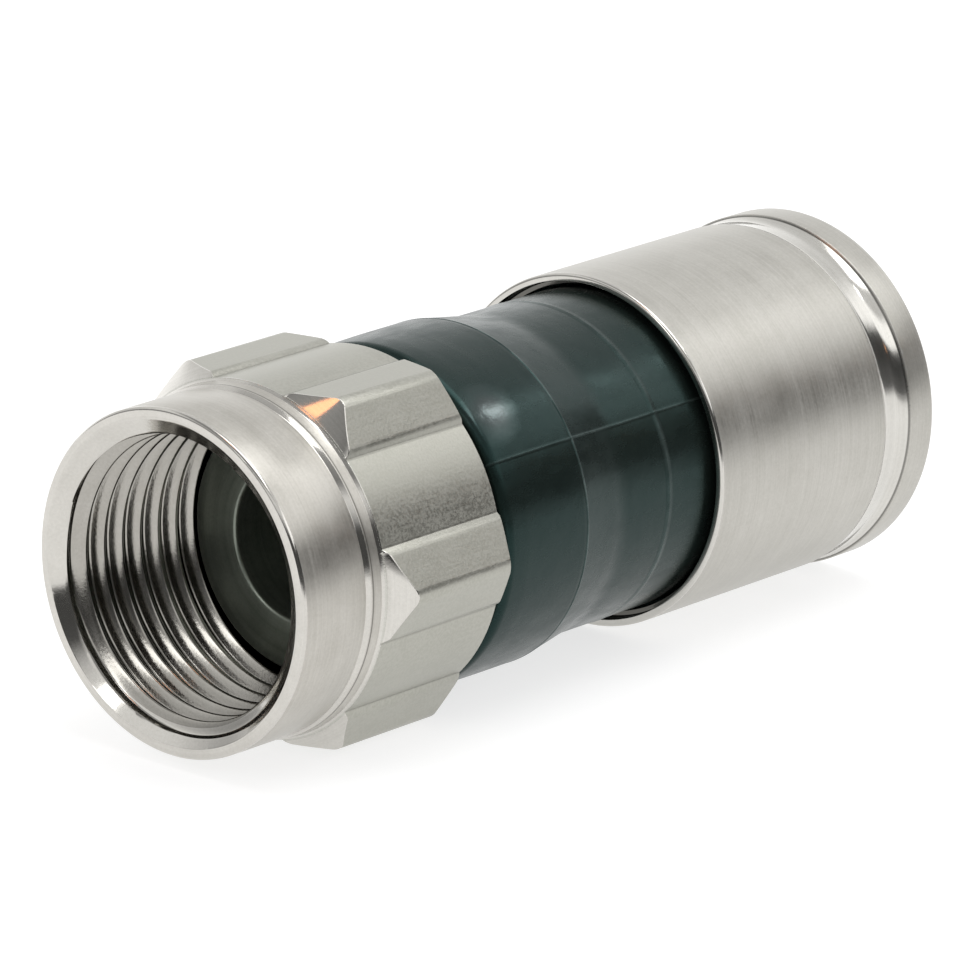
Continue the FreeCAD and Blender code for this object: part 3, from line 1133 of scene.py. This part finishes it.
soft_light("overhead", azimuth=125.0, elevation=78.0, distance=600.0, size=440.0, power=1.60)
soft_light(
    "window", azimuth=-4.0, elevation=34.0, distance=500.0, size=90.0, power=0.16, stretch=2.6
)
soft_light("back_spot", azimuth=157.0, elevation=42.0, distance=600.0, size=60.0, power=0.050)
soft_light(
    "warm_lamp", azimuth=-9.0, elevation=64.0, distance=500.0, size=70.0, power=0.036, colour=AMBER
)
soft_light(
    "warm_glow",
    azimuth=142.0,
    elevation=18.0,
    distance=600.0,
    size=30.0,
    power=0.0035,
    colour=PALE_AMBER,
)

# The studio seen in reflections, where right is +X and back is +Y. The right is dark low down,
# with a bright band above, and the back left is bright low down. Each pair is the sine of a
# height above the horizon and the grey level there.
BACK_RIGHT_LEVELS = [
    (0.0, 0.15), (0.22, 0.06), (0.36, 0.08), (0.425, 1.55), (0.60, 1.62), (0.68, 0.84), (1.0, 0.78)
]
BACK_LEFT_LEVELS = [(0.0, 1.45), (0.30, 1.15), (0.60, 0.86), (1.0, 0.78)]
FRONT_RIGHT_LEVELS = [
    (0.0, 0.07), (0.36, 0.09), (0.52, 0.80), (0.62, 1.00), (0.74, 0.25), (1.0, 0.50)
]
FRONT_LEFT_LEVELS = [
    (0.0, 0.30), (0.28, 0.45), (0.55, 0.90), (0.70, 1.05), (0.80, 0.30), (1.0, 0.50)
]
SKY_CHANGE = (-0.30, 0.30)
BACK_CHANGE = (-0.05, 0.30)

world = bpy.data.worlds.new("studio")
bpy.context.scene.world = world
world.use_nodes = True
sky = Nodes(world.node_tree)
to_right, to_back, to_top = sky.coordinates("Generated")


def grey_sky(levels):
    """Grey sky that changes with the height above the horizon."""
    return sky.ramp(to_top, [(height, (level, level, level)) for height, level in levels])


def blend_sky(direction, first, second, change=SKY_CHANGE):
    """Smooth change from the first sky to the second along one horizontal direction."""
    share = sky.spread(direction, change, interpolation="SMOOTHSTEP")
    return sky.tint(share, first, second)


back_left, back_right = grey_sky(BACK_LEFT_LEVELS), grey_sky(BACK_RIGHT_LEVELS)
front_left, front_right = grey_sky(FRONT_LEFT_LEVELS), grey_sky(FRONT_RIGHT_LEVELS)
back_sky = blend_sky(to_right, back_left, back_right, BACK_CHANGE)
front_sky = blend_sky(to_right, front_left, front_right)
whole_sky = blend_sky(to_back, front_sky, back_sky)
sky.put(whole_sky, sky.tree.nodes["Background"].inputs["Color"])

# Camera, where the photograph was taken from
SENSOR_MM = 36.0
FOCAL_PIXELS = 8000.0
IMAGE_PIXELS = 976.0
CAMERA_PLACE = (156.130942, -171.040917, 72.836899)
CAMERA_TURN = (0.751680, 0.558136, 0.204718, 0.285574)
camera_data = bpy.data.cameras.new("camera")
camera_data.sensor_width = SENSOR_MM
camera_data.lens = FOCAL_PIXELS / IMAGE_PIXELS * SENSOR_MM
camera_data.clip_start = 10.0 * MM
camera_data.clip_end = 20000.0 * MM
camera = bpy.data.objects.new("camera", camera_data)
bpy.context.scene.collection.objects.link(camera)
camera.location = Vector(CAMERA_PLACE) * MM
camera.rotation_mode = "QUATERNION"
camera.rotation_quaternion = Quaternion(CAMERA_TURN)
bpy.context.scene.camera = camera
bpy.context.scene.view_settings.view_transform = "Standard"

bpy.context.view_layer.update()
